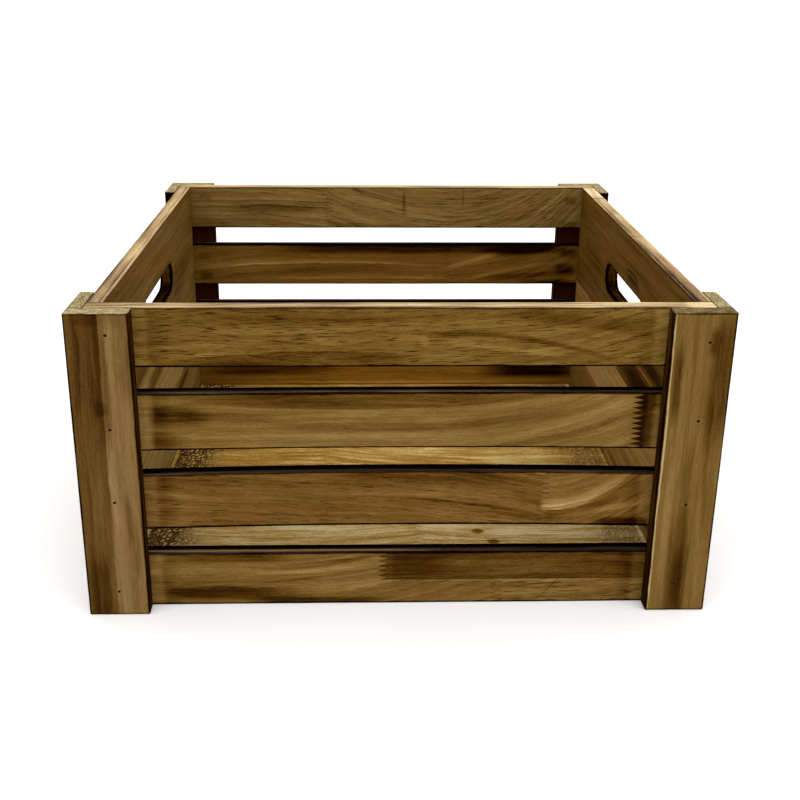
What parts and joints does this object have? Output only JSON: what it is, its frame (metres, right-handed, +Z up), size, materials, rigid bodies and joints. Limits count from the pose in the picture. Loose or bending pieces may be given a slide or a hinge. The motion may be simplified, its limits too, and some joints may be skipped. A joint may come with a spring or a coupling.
{
  "type": "wooden orchard crate",
  "caption": "Low open crate of torched pine with slatted front and back, solid ends with hand slots, corner posts and a boarded floor.",
  "frame": {"origin": "on the ground under the middle of the crate", "axes": "+Z up, +X along the slats to the right of someone facing the front, front slats face -Y"},
  "size_m": [0.44, 0.4, 0.228],
  "materials": {
    "slat": "torched pine, satin, brown streaks over lighter grain, with darker burnt edges",
    "post": "torched pine, satin, with dark arrises and grey-tan end grain",
    "batten": "torched pine, satin, darker than the slats",
    "end_panel": "torched edge-glued pine, satin, olive brown, with a near-black slot rim",
    "floor_board": "lightly torched pine, matt, golden in the middle and charred at both ends",
    "brad": "dull steel brad heads"
  },
  "bodies": {
    "root": {"back_left_batten": "batten", "back_left_batten_brad_high": "brad", "back_left_batten_brad_low": "brad", "back_left_post": "post", "back_left_post_brad_1": "brad", "back_left_post_brad_2": "brad", "back_left_post_brad_3": "brad", "back_left_post_brad_4": "brad", "back_right_batten": "batten", "back_right_batten_brad_high": "brad", "back_right_batten_brad_low": "brad", "back_right_post": "post", "back_right_post_brad_1": "brad", "back_right_post_brad_2": "brad", "back_right_post_brad_3": "brad", "back_right_post_brad_4": "brad", "back_slat_1": "slat", "back_slat_2": "slat", "back_slat_3": "slat", "back_slat_4": "slat", "floor_board_1": "floor_board", "floor_board_2": "floor_board", "floor_board_3": "floor_board", "front_left_batten": "batten", "front_left_batten_brad_high": "brad", "front_left_batten_brad_low": "brad", "front_left_post": "post", "front_left_post_brad_1": "brad", "front_left_post_brad_2": "brad", "front_left_post_brad_3": "brad", "front_left_post_brad_4": "brad", "front_right_batten": "batten", "front_right_batten_brad_high": "brad", "front_right_batten_brad_low": "brad", "front_right_post": "post", "front_right_post_brad_1": "brad", "front_right_post_brad_2": "brad", "front_right_post_brad_3": "brad", "front_right_post_brad_4": "brad", "front_slat_1": "slat", "front_slat_2": "slat", "front_slat_3": "slat", "front_slat_4": "slat", "left_end_panel": "end_panel", "left_floor_brad_1a": "brad", "left_floor_brad_1b": "brad", "left_floor_brad_2a": "brad", "left_floor_brad_2b": "brad", "left_floor_brad_3a": "brad", "left_floor_brad_3b": "brad", "right_end_panel": "end_panel", "right_floor_brad_1a": "brad", "right_floor_brad_1b": "brad", "right_floor_brad_2a": "brad", "right_floor_brad_2b": "brad", "right_floor_brad_3a": "brad", "right_floor_brad_3b": "brad"}
  },
  "joints": []
}
